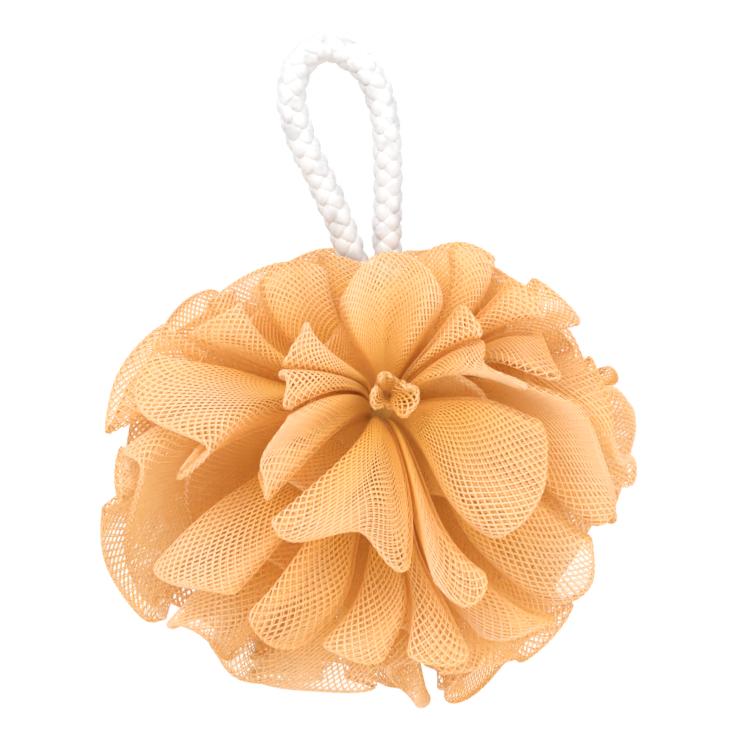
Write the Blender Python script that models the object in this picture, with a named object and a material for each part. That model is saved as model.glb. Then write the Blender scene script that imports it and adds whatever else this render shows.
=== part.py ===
"""Mesh bath sponge: a ball of gathered netting ruffles on a white plaited rope loop.

A long flattened tube of plastic netting is bunched up on its middle and cinched by a tie.
The bunched tube fans out in ruffles all round the tie, and their outer edges make the ball.
The rope loop runs up from the tie through the ball, and the sponge hangs from it.

Metres, +Z up. The origin is the point where the loop rests on its hook. The side of the
ball that faces -Y is the front, where the ruffles open like petals round a small dimple.
"""
import math
import random

import bpy
import numpy as np

# The ball.
BALL_WIDTH = 0.138
BALL_DEPTH = 0.122
BALL_HEIGHT = 0.117
HANG_HEIGHT = 0.1021        # from the middle of the ball up to the hook
HANG_OFFSET = -0.0105       # the loop leans to the left of the ball's middle

# The gather: where the netting is bunched, and the way its axis points.
GATHER_X = 0.0025
GATHER_Z = 0.012
GATHER_TILT = math.radians(8.0)
WAIST_RADIUS = 0.0075
WAIST_HALF_LENGTH = 0.0135

# The flattened tube of netting: two layers, rounded where they fold at the outer edge.
EDGE_THICKNESS = 0.0014
ROOT_THICKNESS = 0.00040
PRESSED_SHARE = 0.22        # of the gap to the next fold, where ruffles press together

# The tie and the rope.
TIE_DIAMETER = 0.0020
ROPE_DIAMETER = 0.0070
CLEARANCE = 0.0003
LEG_CLEARANCE = 0.0003

# Seven rows of ruffles from the front of the gather to its back. A row's place is given
# from +1, the front pole of the ball, to -1, its back pole.
ROW_PLACES = (0.82, 0.47, 0.16, -0.13, -0.37, -0.61, -0.86)
ROW_SWINGS = (0.185, 0.118, 0.118, 0.098, 0.100, 0.105, 0.130)
POLE_ANGLE = math.radians(62.0)

# Petals of the front row, anticlockwise from the right as seen from the front: the angle
# each takes up in degrees, how far its fold doubles back, and how full its edge stands.
FRONT_PETALS = (
    (28, 1.2, 1.05), (30, 1.2, 1.00), (80, 0.55, 1.00), (36, 1.3, 1.02), (34, 1.4, 1.00),
    (30, 1.3, 1.00), (66, 1.2, 1.02), (22, 1.2, 1.03), (62, 1.0, 1.03),
)
FRONT_START = 0.0
# How far the front petals reach from the dimple, in millimetres, at angles round it.
FRONT_REACH = (
    (-70, 52), (-48, 46), (-22, 46), (2, 46), (18, 34), (36, 42), (56, 44), (90, 51), (122, 40),
    (142, 36), (166, 34), (190, 35), (210, 41), (232, 45), (256, 41), (276, 48),
)
# For each row, how far the valleys sink between its petals and how broadly the petals open.
ROW_VALLEYS = (0.34, 0.12, 0.0, 0.0, 0.0, 0.0, 0.0)
ROW_BREADTHS = (0.3, 0.2, 0.1, 0.0, 0.0, 0.0, 0.0)
SECOND_PETALS = (
    (22, 1.0, 1.00), (26, 0.9, 1.02), (26, 1.0, 1.00), (34, 0.7, 0.92), (30, 1.0, 1.00),
    (24, 1.0, 1.00), (54, 1.1, 1.03), (24, 1.2, 1.00), (22, 1.2, 1.02), (26, 1.3, 1.00),
    (20, 1.1, 1.01), (22, 1.2, 1.00), (24, 1.2, 1.01), (30, 1.3, 1.02),
)
SECOND_START = 7.0
HIDDEN_ROW_PETALS = (10, 9, 9, 8, 7)
SEED = 11
FLUTE_DEPTH = 0.12          # how far the flutes swing, as a share of half the ball
# Patches of the ball where the ruffles are turned out of their rows: direction from the
# front to the right, height, size and turn, all in degrees.
TURNED_PATCHES = (
    (78, -8, 44, 44), (-90, -4, 44, -42), (172, -18, 46, 50), (-136, 26, 38, -34),
    (128, 28, 38, 36), (12, -78, 44, 40), (-148, -50, 36, -32),
)

SIDE_STEPS = 4              # facets along a ruffle from the waist to its edge
# Where half a petal is sampled: at its two turning folds and between them.
SMALL_STATIONS = (0.0, 0.12, 0.38)
MIDDLE_STATIONS = (0.0, 0.125, 0.25, 0.375)
LARGE_STATIONS = (0.0, 0.08, 0.15, 0.25, 0.35, 0.42)
SMALL_PETAL = 28.0
LARGE_PETAL = 47.0
ROPE_POINTS = 64

NET_COLOUR = (0.93, 0.52, 0.20, 1.0)
TIE_COLOUR = (0.86, 0.84, 0.80, 1.0)
ROPE_COLOUR = (0.90, 0.90, 0.90, 1.0)

MM = 0.001
AXIS_FRONT = np.array([0.0, -math.cos(GATHER_TILT), math.sin(GATHER_TILT)])
AXIS_UP = np.array([0.0, math.sin(GATHER_TILT), math.cos(GATHER_TILT)])
AXIS_RIGHT = np.array([1.0, 0.0, 0.0])
BALL_HALF = np.array([BALL_WIDTH, BALL_DEPTH, BALL_HEIGHT]) / 2.0
BALL_CENTRE = np.array([-HANG_OFFSET, 0.0, -HANG_HEIGHT])
GATHER = np.array([GATHER_X, 0.0, GATHER_Z])
TIE_RING_RADIUS = WAIST_RADIUS + CLEARANCE + TIE_DIAMETER / 2.0
ROPE_FOOT = TIE_RING_RADIUS + TIE_DIAMETER / 2.0 + CLEARANCE
LEG_SPACING = ROPE_DIAMETER / 2.0 + LEG_CLEARANCE / 2.0


def smooth(value):
    """Ease from 0 to 1 as value goes from 0 to 1."""
    value = np.clip(value, 0.0, 1.0)
    return value * value * (3.0 - 2.0 * value)


def unit(vectors):
    """Scale vectors to length one."""
    return vectors / np.linalg.norm(vectors, axis=-1, keepdims=True)


def round_table(table, angle):
    """Read a smooth closed curve through (degrees, value) pairs at an angle in radians."""
    stops = sorted((pair[0] % 360.0, pair[1]) for pair in table)
    places = np.array([stop[0] for stop in stops])
    values = np.array([stop[1] for stop in stops])
    places = np.concatenate((places, [places[0] + 360.0]))
    values = np.concatenate((values, [values[0]]))
    degrees = (np.degrees(angle) - places[0]) % 360.0 + places[0]
    index = np.clip(np.searchsorted(places, degrees, side="right") - 1, 0, len(places) - 2)
    share = (degrees - places[index]) / (places[index + 1] - places[index])
    return values[index] + (values[index + 1] - values[index]) * smooth(share)


def outline_distance(direction):
    """Distance from the gather to the ball's outer surface along unit directions."""
    scaled = direction / BALL_HALF
    start = GATHER / BALL_HALF
    a = np.sum(scaled * scaled, axis=-1)
    b = np.sum(scaled * start, axis=-1)
    c = np.sum(start * start) - 1.0
    return (-b + np.sqrt(b * b - a * c)) / a


def end_angle(place, angle):
    """Angle off the gather axis at which a ruffle of this place meets the ball's surface."""
    reach = round_table(FRONT_REACH, angle) * MM
    front = np.arcsin(np.clip(reach / (BALL_DEPTH / 2.0), -0.95, 0.95))
    shift = front - (math.pi / 2.0 - POLE_ANGLE * ROW_PLACES[0])
    left = np.exp(-((np.degrees(angle) % 360.0 - 184.0) / 34.0) ** 2)
    widen = math.radians(6.0) * left * np.exp(-((place - ROW_PLACES[1]) / 0.27) ** 2)
    return math.pi / 2.0 - POLE_ANGLE * place + shift * smooth((place + 0.1) / 0.9) + widen


def turn_patches(points):
    """Turn round patches of the ball in place, most at the middle and at the surface."""
    scaled = points / BALL_HALF
    for heading, height, size, turn in TURNED_PATCHES:
        heading, height = math.radians(heading), math.radians(height)
        centre = np.array([math.sin(heading) * math.cos(height),
                           -math.cos(heading) * math.cos(height), math.sin(height)])
        depth = np.linalg.norm(scaled, axis=-1)
        aside = np.arccos(np.clip(scaled.dot(centre) / np.maximum(depth, 1e-9), -1.0, 1.0))
        amount = smooth(1.0 - aside / math.radians(size)) * smooth((depth - 0.32) / 0.6)
        angle = (math.radians(turn) * amount)[..., None]
        axial = centre * scaled.dot(centre)[..., None]
        sideways = np.cross(centre, scaled)
        scaled = axial + (scaled - axial) * np.cos(angle) + sideways * np.sin(angle)
    return scaled * BALL_HALF


def sway(points, ease):
    """Bend everything gently and irregularly, as handled netting is."""
    moved = points.copy()
    generator = random.Random(SEED + 5)
    for wave, depth, count in ((0.075, 0.0042, 4), (0.030, 0.0010, 5)):
        for _ in range(count):
            along = np.array([generator.gauss(0.0, 1.0) for _ in range(3)])
            along /= np.linalg.norm(along)
            push = np.array([generator.gauss(0.0, 1.0) for _ in range(3)])
            push -= along * push.dot(along)
            push /= np.linalg.norm(push)
            turn = generator.uniform(0.0, 2.0 * math.pi)
            wavelength = wave * generator.uniform(0.85, 1.2)
            phase = points.dot(along) * (2.0 * math.pi / wavelength) + turn
            moved += (np.sin(phase) * ease * depth / math.sqrt(count))[..., None] * push
    return moved


def place_netting(place, angle, along):
    """Point of the ball for a row place, an angle round the axis and a share of the ruffle."""
    # The rows wander to the front and back in flutes, then each ruffle swirls round
    # the axis. Both grow from nothing at the waist, and both leave the rope's seam alone.
    away = 1.0 - np.exp(-((angle - math.pi / 2.0 - 0.05) / 0.5) ** 2)
    below = np.exp(-(((np.degrees(angle) - 98.0) % 360.0 - 180.0) / 58.0) ** 4)
    drift = 0.12 * np.sin(4.0 * angle + 0.9) + 0.075 * np.sin(7.0 * angle + 2.6 + place)
    flute = 8.0 * angle + 0.9 * np.sin(2.0 * angle + 0.4) + 0.7 * np.sin(3.0 * angle + 1.0)
    deep = FLUTE_DEPTH * (1.0 + 0.3 * np.sin(3.0 * angle + 2.4) + 0.3 * below)
    drift = drift * (1.0 - 0.7 * below) + deep * np.sin(flute)
    drift = drift * (1.0 - np.minimum(place * place, 1.0))
    place = place + drift * away * along
    swirl = 0.24 * np.sin(2.0 * angle + 3.0 * place + 0.6)
    swirl = swirl + 0.07 * np.sin(5.0 * angle - 4.0 * place + 2.1)
    # The front rows bow to one side halfway along, so their petals curve like spoons.
    ahead = smooth((place + 0.15) / 0.6)
    bend = 0.88 * np.sin(3.0 * angle + 1.0) * ahead * along * (1.0 - along)
    angle = angle + swirl * (1.0 - ahead) * away * along * along + bend
    theta = end_angle(place, angle)
    flat = AXIS_RIGHT * np.cos(angle)[..., None] + AXIS_UP * np.sin(angle)[..., None]
    direction = AXIS_FRONT * np.cos(theta)[..., None] + flat * np.sin(theta)[..., None]
    distance = outline_distance(direction)
    end_out = distance * np.sin(theta)
    end_front = distance * np.cos(theta)
    size = np.abs(place)
    root_out = WAIST_RADIUS * (1.0 - 0.85 * size * size)
    root_front = WAIST_HALF_LENGTH * (1.35 * place + 1.1 * place**3)
    first_out = 0.8 * MM + 17.0 * MM * np.clip(1.06 - size, 0.0, 1.06) ** 1.6
    first_front = 0.80 * (BALL_DEPTH / 2.0) * place
    second_out = end_out * (0.72 - 0.19 * size)
    second_front = end_front + 7.0 * MM * place * (1.0 - 0.75 * place * place)
    back = 1.0 - along
    w0, w1, w2, w3 = back**3, 3 * back**2 * along, 3 * back * along**2, along**3
    out = w0 * root_out + w1 * first_out + w2 * second_out + w3 * end_out
    front = w0 * root_front + w1 * first_front + w2 * second_front + w3 * end_front
    across = out * np.cos(angle)
    up = out * np.sin(angle)
    # The seam between the third and fourth rows opens round the legs of the rope.
    room = ROPE_DIAMETER / 2.0 + CLEARANCE + EDGE_THICKNESS / 2.0 + 1.3 * MM
    beside = 1.0 - smooth((np.abs(across) - 1.15 * ROPE_DIAMETER) / (1.6 * ROPE_DIAMETER))
    above = smooth((up - 0.9 * WAIST_RADIUS) / (0.7 * WAIST_RADIUS))
    opening = room * beside * above
    side = np.where(place >= 0.0, 1.0, -1.0)
    front = front + side * opening * np.exp(-np.abs(place) / 0.26)
    points = (GATHER + AXIS_RIGHT * across[..., None] + AXIS_UP * up[..., None]
              + AXIS_FRONT * front[..., None])
    radius = np.sqrt(out * out + front * front)
    ease = smooth((radius - 2.0 * WAIST_RADIUS) / (3.5 * WAIST_RADIUS))
    ease = ease * (1.0 - np.clip(opening / room, 0.0, 1.0) * np.exp(-(front / (2.2 * room)) ** 2))
    return sway(turn_patches(points), ease)


def row_petals(row):
    """List a row's petals: start angle, width in radians, doubling back and fullness."""
    if row == 0:
        petals, start = FRONT_PETALS, FRONT_START
    elif row == 1:
        petals, start = SECOND_PETALS, SECOND_START
    else:
        generator = random.Random(SEED + row)
        petals = []
        for _ in range(HIDDEN_ROW_PETALS[row - 2]):
            petals.append((generator.uniform(0.7, 1.35), generator.uniform(0.9, 1.4),
                           generator.uniform(0.96, 1.04)))
        start = generator.uniform(0.0, 30.0)
    total = sum(petal[0] for petal in petals)
    listed = []
    angle = math.radians(start)
    for width, fold, full in petals:
        width = 2.0 * math.pi * width / total
        listed.append((angle, width, fold, full))
        angle += width
    return listed


def row_columns(row):
    """Sample a row round the ball: petal index and share of the petal for each column."""
    columns = []
    for index, (_, width, _, _) in enumerate(row_petals(row)):
        stations = MIDDLE_STATIONS
        if width < math.radians(SMALL_PETAL):
            stations = SMALL_STATIONS
        if width > math.radians(LARGE_PETAL):
            stations = LARGE_STATIONS
        for half in (0.0, 0.5):
            columns.extend((index, half + station) for station in stations)
    return columns


def ruffle_points(row, columns, levels):
    """Middle surface of a row of ruffles, one line of points per level from root to edge."""
    petals = row_petals(row)
    count = len(petals)
    generator = random.Random(SEED + 20 + row)
    valley = [generator.uniform(0.75, 1.0) for _ in petals]
    valley_full = [generator.uniform(0.82, 0.93) - ROW_VALLEYS[row] for _ in petals]
    broad = ROW_BREADTHS[row]
    lean = [generator.uniform(-0.10, 0.10) for _ in petals]
    index = np.array([column[0] for column in columns])
    share = np.array([column[1] for column in columns])
    start = np.array([petal[0] for petal in petals])[index]
    width = np.array([petal[1] for petal in petals])[index]
    fold = np.array([petal[2] for petal in petals])[index]
    full = np.array([petal[3] for petal in petals])[index]
    side = np.where(share < 0.5, index, (index + 1) % count)
    hill = 0.5 - 0.5 * np.cos(2.0 * np.pi * share)
    low = np.array(valley)[side]
    low_full = np.array(valley_full)[side]
    tilt = np.array(lean)[index] * hill
    sign = 1.0 if ROW_PLACES[row] > 0.0 else -1.0
    lines = []
    for level in levels:
        grown = smooth(level / 0.9)
        swing = ROW_SWINGS[row] * (0.12 + 0.88 * grown)
        place = ROW_PLACES[row] + sign * swing * (hill - low * (1.0 - hill))
        double = 0.22 + (fold - 0.22) * grown
        shift = share + double / (2.0 * np.pi) * np.sin(4.0 * np.pi * share)
        shift = shift - broad / (2.0 * np.pi) * np.sin(2.0 * np.pi * share)
        angle = start + width * (shift + tilt * level * level)
        edge = low_full + (full - low_full) * hill
        notch = math.degrees(1.0) * (angle - math.pi / 2.0 - 0.10)
        keep_low = np.exp(-((notch / 17.0) ** 2)) if row in (1, 2) else 0.0
        along = level * (edge - 0.22 * keep_low)
        lines.append(place_netting(place, angle, along))
    return np.array(lines)


def free_room(lines, row, level):
    """Distance from each point of a ruffle line to the nearest other fold of the netting."""
    here = lines[row][level]
    count = len(here)
    apart = np.linalg.norm(here[:, None] - here[None, :], axis=-1)
    step = np.abs(np.arange(count)[:, None] - np.arange(count)[None, :])
    apart[np.minimum(step, count - step) < 3] = 1.0
    room = apart.min(axis=1)
    for other in (row - 1, row + 1):
        if 0 <= other < len(lines):
            across = np.linalg.norm(here[:, None] - lines[other][level][None, :], axis=-1)
            room = np.minimum(room, across.min(axis=1))
    return room


def solid_rows():
    """Skin vertices of every row: front and back sheets and the rounded outer edge."""
    levels = np.linspace(0.0, 1.0, SIDE_STEPS + 1)
    lines = [ruffle_points(row, row_columns(row), levels) for row in range(len(ROW_PLACES))]
    rows = []
    for row, middle in enumerate(lines):
        ahead = unit(np.roll(middle, -1, axis=1) - middle)
        around = ahead + np.roll(ahead, 1, axis=1)
        outward = unit(np.gradient(middle, axis=0))
        normal = unit(np.cross(outward, around))
        # A sharp fold keeps its wall: the offset is longer there, as at a mitred corner.
        mitre = np.minimum(1.5, 2.0 / np.linalg.norm(around, axis=-1))
        thickness = ROOT_THICKNESS + (EDGE_THICKNESS - ROOT_THICKNESS) * levels**1.5
        room = np.array([free_room(lines, row, level) for level in range(len(levels))])
        half = np.minimum(mitre * thickness[:, None] / 2.0, PRESSED_SHARE * room)[..., None]
        rim = middle[-1] + outward[-1] * half[-1]
        rows.append((middle + normal * half, middle - normal * half, rim))
    return rows


def axis_angle(point):
    """Angle of a point round the gather axis."""
    offset = point - GATHER
    return math.atan2(offset.dot(AXIS_UP), offset.dot(AXIS_RIGHT)) % (2.0 * math.pi)


def join_loops(first, second, positions, faces):
    """Close the waist between two loops of vertices, stepping round both together."""
    def ordered(loop):
        angles = [axis_angle(positions[item]) for item in loop]
        least = angles.index(min(angles))
        turned = loop[least:] + loop[:least]
        return turned + turned[:1], sorted(angles) + [min(angles) + 2.0 * math.pi]

    loop_a, angles_a = ordered(first)
    loop_b, angles_b = ordered(second)
    a = b = 0
    while a < len(loop_a) - 1 or b < len(loop_b) - 1:
        step_a = b == len(loop_b) - 1
        if a < len(loop_a) - 1 and b < len(loop_b) - 1:
            step_a = angles_a[a + 1] + angles_a[a] < angles_b[b + 1] + angles_b[b]
        if step_a:
            faces.append((loop_a[a], loop_b[b], loop_a[a + 1]))
            a += 1
        else:
            faces.append((loop_a[a], loop_b[b], loop_b[b + 1]))
            b += 1


def add_object(name, mesh, colour, roughness):
    """Put a mesh in the scene with its own material."""
    material = bpy.data.materials.new(name + "_material")
    material.use_nodes = True
    shader = material.node_tree.nodes["Principled BSDF"]
    shader.inputs["Base Color"].default_value = colour
    shader.inputs["Roughness"].default_value = roughness
    shader.inputs["Metallic"].default_value = 0.0
    mesh.materials.append(material)
    item = bpy.data.objects.new(name, mesh)
    item.location = BALL_CENTRE
    bpy.context.scene.collection.objects.link(item)
    return item


def make_net_ruffles():
    """All rows of ruffles and the bunched waist they fan out from, as one closed skin."""
    positions = []
    faces = []
    loops = []
    for front, back, rim in solid_rows():
        steps, count = front.shape[:2]
        base = len(positions)
        for sheet in (front, back):
            positions.extend(sheet.reshape(-1, 3))
        positions.extend(rim)
        middle = (front + back) / 2.0
        for column in range(count):
            after = (column + 1) % count
            for step in range(steps - 1):
                # Both sheets are split along the same diagonal, so neither cuts the other.
                rising = np.linalg.norm(middle[step + 1, after] - middle[step, column])
                falling = np.linalg.norm(middle[step + 1, column] - middle[step, after])
                for sheet, flip in ((base, -1), (base + steps * count, 1)):
                    corner = sheet + step * count
                    a, b = corner + column, corner + after
                    c, d = b + count, a + count
                    halves = ((a, b, c), (a, c, d)) if rising < falling else ((a, b, d), (b, c, d))
                    faces.extend(half[::flip] for half in halves)
            front_edge = base + (steps - 1) * count
            back_edge = front_edge + steps * count
            rim_edge = base + 2 * steps * count
            faces.append((front_edge + column, rim_edge + column,
                          rim_edge + after, front_edge + after))
            faces.append((back_edge + column, back_edge + after,
                          rim_edge + after, rim_edge + column))
        back_base = base + steps * count
        loops.append((list(range(base, base + count)),
                      list(range(back_base, back_base + count))))
    for ahead, behind in zip(loops[:-1], loops[1:]):
        join_loops(ahead[1], behind[0], positions, faces)
    for loop, sign in ((loops[0][0], 1.0), (loops[-1][1], -1.0)):
        centre = len(positions)
        positions.append(GATHER + AXIS_FRONT * sign * 2.2 * WAIST_HALF_LENGTH)
        for column, item in enumerate(loop):
            after = loop[(column + 1) % len(loop)]
            faces.append((centre, item, after) if sign > 0.0 else (centre, after, item))
    mesh = bpy.data.meshes.new("net_ruffles")
    mesh.from_pydata([tuple(point) for point in positions], [], faces)
    mesh.validate()
    mesh.shade_smooth()
    return add_object("net_ruffles", mesh, NET_COLOUR, 0.55)


def make_tie_cord():
    """The cord that cinches the waist, a ring in the seam between the middle rows."""
    around, section = 40, 8
    positions = []
    for step in range(around):
        angle = 2.0 * math.pi * step / around
        flat = AXIS_RIGHT * math.cos(angle) + AXIS_UP * math.sin(angle)
        for turn in range(section):
            roll = 2.0 * math.pi * turn / section
            out = TIE_RING_RADIUS + TIE_DIAMETER / 2.0 * math.cos(roll)
            ahead = TIE_DIAMETER / 2.0 * math.sin(roll)
            positions.append(tuple(GATHER + flat * out + AXIS_FRONT * ahead))
    faces = []
    for step in range(around):
        near = step * section
        far = (step + 1) % around * section
        for turn in range(section):
            after = (turn + 1) % section
            faces.append((near + turn, far + turn, far + after, near + after))
    mesh = bpy.data.meshes.new("tie_cord")
    mesh.from_pydata(positions, [], faces)
    mesh.shade_smooth()
    return add_object("tie_cord", mesh, TIE_COLOUR, 0.6)


def rope_route():
    """The rope's own points, from the foot of the right leg over the hook to the left one."""
    def foot(across, up):
        return GATHER + AXIS_RIGHT * across + AXIS_UP * up

    right, left = LEG_SPACING, -LEG_SPACING
    drawn = ((4.3, 2.9, 56.0), (4.5, 3.4, 67.5), (4.4, 2.9, 79.0), (3.7, 2.2, 88.0),
             (1.6, 1.4, 95.5), (-2.6, 0.7, 101.7), (-10.5, 0.2, 105.6), (-17.2, 0.6, 101.8),
             (-19.6, 1.2, 94.6), (-18.8, 1.9, 88.0), (-16.6, 2.5, 81.5), (-13.2, 2.9, 74.5),
             (-9.9, 2.9, 67.5), (-7.0, 2.7, 60.5), (-4.4, 2.9, 53.0))
    hook = np.array([HANG_OFFSET, 0.0, HANG_HEIGHT + ROPE_DIAMETER / 2.0])
    points = [foot(right, ROPE_FOOT), foot(right, ROPE_FOOT + 0.012), foot(right, ROPE_FOOT + 0.024)]
    for across, back, height in drawn:
        points.append(np.array([across, back, height]) * MM)
    points[3 + 6] = hook
    points += [foot(left, ROPE_FOOT + 0.024), foot(left, ROPE_FOOT + 0.012), foot(left, ROPE_FOOT)]
    return np.array(points)


def smooth_route(points, count):
    """Evenly spaced points on a smooth curve through the route."""
    padded = np.vstack((2 * points[0] - points[1], points, 2 * points[-1] - points[-2]))
    fine = []
    for index in range(1, len(padded) - 2):
        p0, p1, p2, p3 = padded[index - 1:index + 3]
        for step in range(24):
            s = step / 24.0
            fine.append(0.5 * (2 * p1 + (p2 - p0) * s + (2 * p0 - 5 * p1 + 4 * p2 - p3) * s * s
                               + (3 * p1 - p0 - 3 * p2 + p3) * s**3))
    fine.append(padded[-2])
    fine = np.array(fine)
    length = np.concatenate(([0.0], np.cumsum(np.linalg.norm(np.diff(fine, axis=0), axis=1))))
    even = np.linspace(0.0, length[-1], int(round(count)))
    return np.stack([np.interp(even, length, fine[:, axis]) for axis in range(3)], axis=1)


def make_hanging_loop():
    """The rope: both of its ends sit on the tie, side by side."""
    route = smooth_route(rope_route(), ROPE_POINTS)
    curve = bpy.data.curves.new("hanging_loop", "CURVE")
    curve.dimensions = "3D"
    curve.bevel_depth = ROPE_DIAMETER / 2.0
    curve.bevel_resolution = 3
    curve.use_fill_caps = True
    spline = curve.splines.new("POLY")
    spline.points.add(len(route) - 1)
    for point, position in zip(spline.points, route):
        point.co = (*position, 1.0)
    return add_object("hanging_loop", curve, ROPE_COLOUR, 0.5)


for old in list(bpy.data.objects):
    bpy.data.objects.remove(old, do_unlink=True)

make_net_ruffles()
make_tie_cord()
make_hanging_loop()
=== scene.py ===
"""Mesh bath sponge: a ball of gathered orange netting on a white plaited rope loop."""
import math
import random

import bpy
import numpy as np
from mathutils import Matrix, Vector


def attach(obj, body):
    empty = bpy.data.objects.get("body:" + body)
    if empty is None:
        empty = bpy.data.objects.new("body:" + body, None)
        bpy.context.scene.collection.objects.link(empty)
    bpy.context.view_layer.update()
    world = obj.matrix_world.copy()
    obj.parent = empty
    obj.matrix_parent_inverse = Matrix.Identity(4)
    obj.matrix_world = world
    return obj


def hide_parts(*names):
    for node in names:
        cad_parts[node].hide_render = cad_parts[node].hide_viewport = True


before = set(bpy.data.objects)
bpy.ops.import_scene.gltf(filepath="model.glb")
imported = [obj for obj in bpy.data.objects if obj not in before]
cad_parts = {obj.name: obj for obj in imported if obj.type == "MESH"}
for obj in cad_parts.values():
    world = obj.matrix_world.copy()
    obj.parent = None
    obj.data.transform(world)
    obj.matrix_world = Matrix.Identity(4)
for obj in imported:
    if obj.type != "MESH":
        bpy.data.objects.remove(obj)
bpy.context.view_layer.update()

# Camera
# It looks almost level at the front of the ball, from so far away that the petals barely
# shrink towards the back. The frame is 185 mm wide at the middle of the ball.
MM = 0.001
BALL_CENTRE = np.array([0.0105, 0.0, -0.1021])
CAMERA_DISTANCE = 0.90
CAMERA_HEIGHT = math.radians(2.0)
FRAME_WIDTH = 0.185
AIM_ABOVE_BALL = 0.025
SENSOR_WIDTH = 36.0
NEAREST_SEEN = 0.05
FURTHEST_SEEN = 20.0

aim = Vector(BALL_CENTRE) + Vector((0.0, 0.0, AIM_ABOVE_BALL))
back_to_camera = Vector((0.0, -math.cos(CAMERA_HEIGHT), math.sin(CAMERA_HEIGHT)))
camera_data = bpy.data.cameras.new("camera")
camera_data.sensor_width = SENSOR_WIDTH
camera_data.lens = SENSOR_WIDTH * CAMERA_DISTANCE / FRAME_WIDTH
camera_data.clip_start = NEAREST_SEEN
camera_data.clip_end = FURTHEST_SEEN
camera = bpy.data.objects.new("camera", camera_data)
bpy.context.scene.collection.objects.link(camera)
camera.location = aim + back_to_camera * CAMERA_DISTANCE
camera.rotation_euler = (-back_to_camera).to_track_quat("-Z", "Y").to_euler()
bpy.context.scene.camera = camera

# Hanging loop
# A soft white rope plaited from six plump strands of smooth yarn, three running round it
# each way. Both of its ends are caught in the tie, and it comes out of the top of the ball.
ROPE_DIAMETER = 7.0 * MM
PLAIT_PITCH = 13.4 * MM
PLAIT_RADIUS = 2.30 * MM
PLAIT_WEAVE = 0.34 * MM
STRAND_WIDTH = 4.3 * MM
STRAND_THICKNESS = 2.2 * MM
STRAND_SIDES = 12
STRAND_STEP = 0.62 * MM
STRANDS_EACH_WAY = 3
FIRST_STRAND_TURN = math.radians(30.0)
SLACK_SHARE = 0.05          # how far a strand stands out where its yarn is slack
SLACK_LENGTH = 0.017
PLUMP_SHARE = 0.06          # how much a strand swells where it passes over another
PLAIT_SEED = 4
# The gather in the tie, where all the netting and both legs of the rope start. Its axis
# points to the front and a little up.
GATHER = np.array([2.5, 0.0, 12.0]) * MM
GATHER_TILT = math.radians(8.0)
AXIS_FRONT = np.array([0.0, -math.cos(GATHER_TILT), math.sin(GATHER_TILT)])
AXIS_UP = np.array([0.0, math.sin(GATHER_TILT), math.cos(GATHER_TILT)])
AXIS_RIGHT = np.array([1.0, 0.0, 0.0])
ROPE_FOOT = 10.1 * MM
LEG_SPACING = 3.65 * MM
LEG_RISES = (0.0, 12.0 * MM, 24.0 * MM)
ROUTE_STEPS = 24
# The visible rope in millimetres from the middle of the ball: across, back and up.
HOOK_TOP = 105.6
ROPE_ROUTE = (
    (4.3, 2.9, 56.0), (4.5, 3.4, 67.5), (4.4, 2.9, 79.0), (3.7, 2.2, 88.0), (1.6, 1.4, 95.5),
    (-2.6, 0.7, 101.7), (-10.5, 0.0, HOOK_TOP), (-17.2, 0.6, 101.8), (-19.6, 1.2, 94.6),
    (-18.8, 1.9, 88.0), (-16.6, 2.5, 81.5), (-13.2, 2.9, 74.5), (-9.9, 2.9, 67.5),
    (-7.0, 2.7, 60.5), (-4.4, 2.9, 53.0),
)
ROPE_COLOUR = (0.69, 0.695, 0.70, 1.0)
# Painted shade: the rope's yarn takes this greyer colour in patches, standing for its creases.
ROPE_PAINTED_SHADE_COLOUR = (0.57, 0.575, 0.585, 1.0)


def unit(vectors):
    """Scale vectors to length one."""
    return vectors / np.linalg.norm(vectors, axis=-1, keepdims=True)


def rope_route():
    """Points of the rope from the foot of its right leg, over the hook, to the left foot."""
    legs = []
    for across in (LEG_SPACING, -LEG_SPACING):
        legs.append([GATHER + AXIS_RIGHT * across + AXIS_UP * (ROPE_FOOT + rise)
                     for rise in LEG_RISES])
    drawn = [np.array(point) * MM for point in ROPE_ROUTE]
    return np.array(legs[0] + drawn + legs[1][::-1]) + BALL_CENTRE


def smooth_route(points, spacing):
    """Evenly spaced points on a smooth curve through the route."""
    padded = np.vstack((2 * points[0] - points[1], points, 2 * points[-1] - points[-2]))
    fine = []
    for index in range(1, len(padded) - 2):
        p0, p1, p2, p3 = padded[index - 1:index + 3]
        for step in range(ROUTE_STEPS):
            s = step / ROUTE_STEPS
            fine.append(0.5 * (2 * p1 + (p2 - p0) * s + (2 * p0 - 5 * p1 + 4 * p2 - p3) * s * s
                               + (3 * p1 - p0 - 3 * p2 + p3) * s**3))
    fine.append(padded[-2])
    fine = np.array(fine)
    length = np.concatenate(([0.0], np.cumsum(np.linalg.norm(np.diff(fine, axis=0), axis=1))))
    even = np.linspace(0.0, length[-1], int(length[-1] / spacing))
    return np.stack([np.interp(even, length, fine[:, axis]) for axis in range(3)], axis=1)


def sides_of(line):
    """The way ahead along a line, and two directions square to it that hardly turn."""
    ahead = unit(np.gradient(line, axis=0))
    first = [unit(np.cross(ahead[0], np.cross([0.0, -1.0, 0.0], ahead[0])))]
    for direction in ahead[1:]:
        carried = first[-1] - direction * first[-1].dot(direction)
        first.append(unit(carried))
    first = np.array(first)
    return ahead, first, np.cross(ahead, first)


def add_piece(name, positions, faces, material, uvs=None):
    """Put a mesh in the scene with its material and a map for its surface."""
    mesh = bpy.data.meshes.new(name)
    mesh.from_pydata(positions.tolist(), [], list(faces))
    mesh.shade_smooth()
    if uvs is not None:
        layer = mesh.uv_layers.new(name="OFBake")
        corners = np.empty(len(mesh.loops), dtype=np.int32)
        mesh.loops.foreach_get("vertex_index", corners)
        layer.data.foreach_set("uv", uvs[corners].astype(np.float32).ravel())
    mesh.materials.append(material)
    piece = bpy.data.objects.new(name, mesh)
    bpy.context.scene.collection.objects.link(piece)
    return piece


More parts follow.
